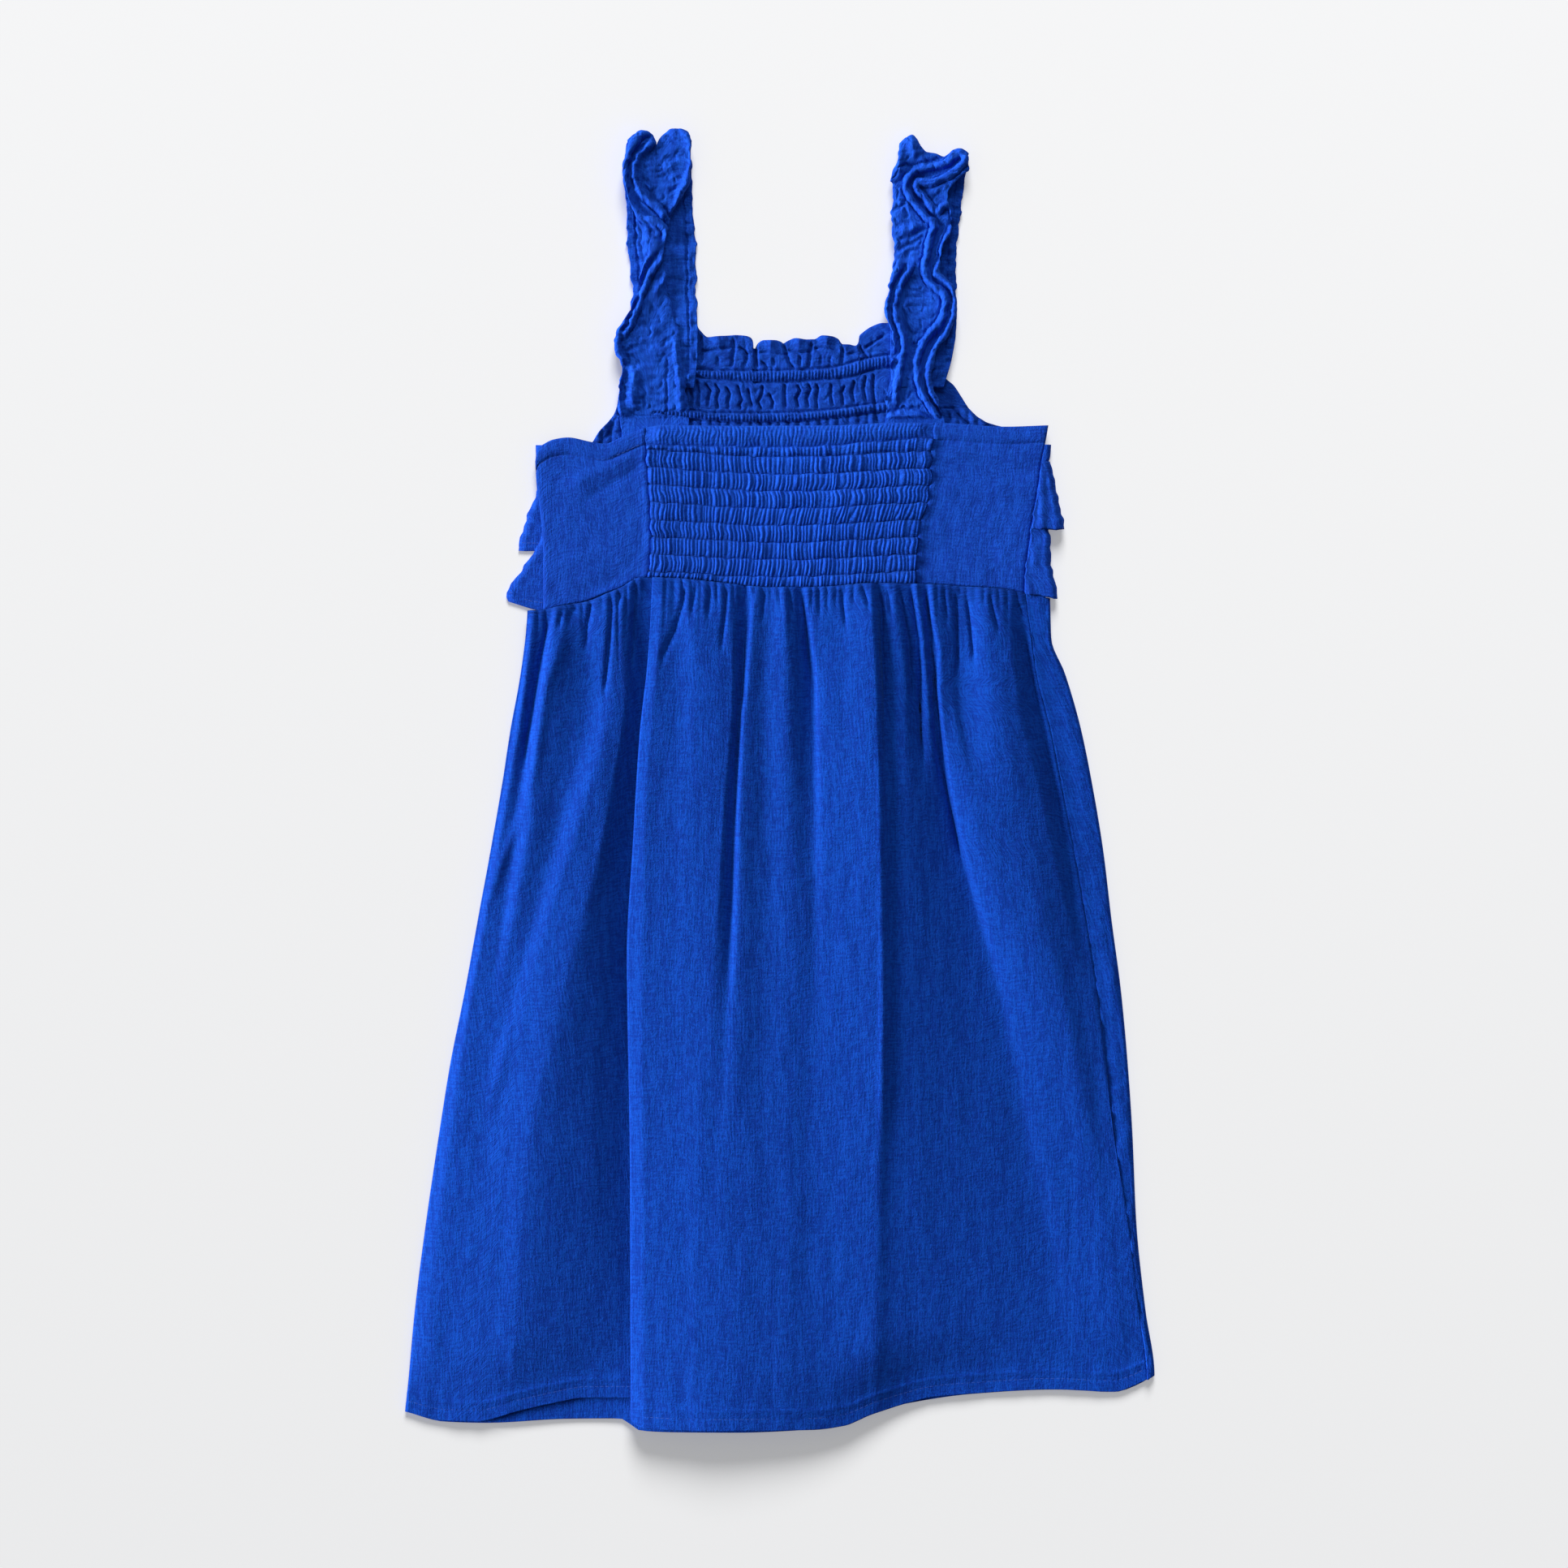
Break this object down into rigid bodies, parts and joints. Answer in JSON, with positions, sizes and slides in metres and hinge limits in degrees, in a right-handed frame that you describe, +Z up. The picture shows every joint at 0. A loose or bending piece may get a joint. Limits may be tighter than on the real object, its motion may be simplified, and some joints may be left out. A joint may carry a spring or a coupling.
{
  "type": "smocked dress",
  "caption": "Child's sleeveless dress laid flat, back up: wide ruffled straps, shirred back bodice, smocked front yoke, side frills and a gathered A-line skirt.",
  "frame": {"origin": "centre of the garment's outline on the surface it lies on", "axes": "+X across the dress, +Y from hem to straps, +Z up off the surface; the back of the dress faces up"},
  "size_m": [0.4245, 0.7376, 0.0121],
  "materials": {
    "double_gauze": "matt crinkled cotton double gauze, royal blue"
  },
  "bodies": {
    "root": {"back_side_panel_left": "double_gauze", "back_shirred_panel": "double_gauze", "back_side_panel_right": "double_gauze", "back_skirt": "double_gauze", "front_yoke": "double_gauze", "front_bodice": "double_gauze", "front_frill_upper": "double_gauze", "front_frill_lower": "double_gauze", "front_skirt": "double_gauze", "strap_left": "double_gauze", "strap_right": "double_gauze"}
  },
  "joints": []
}
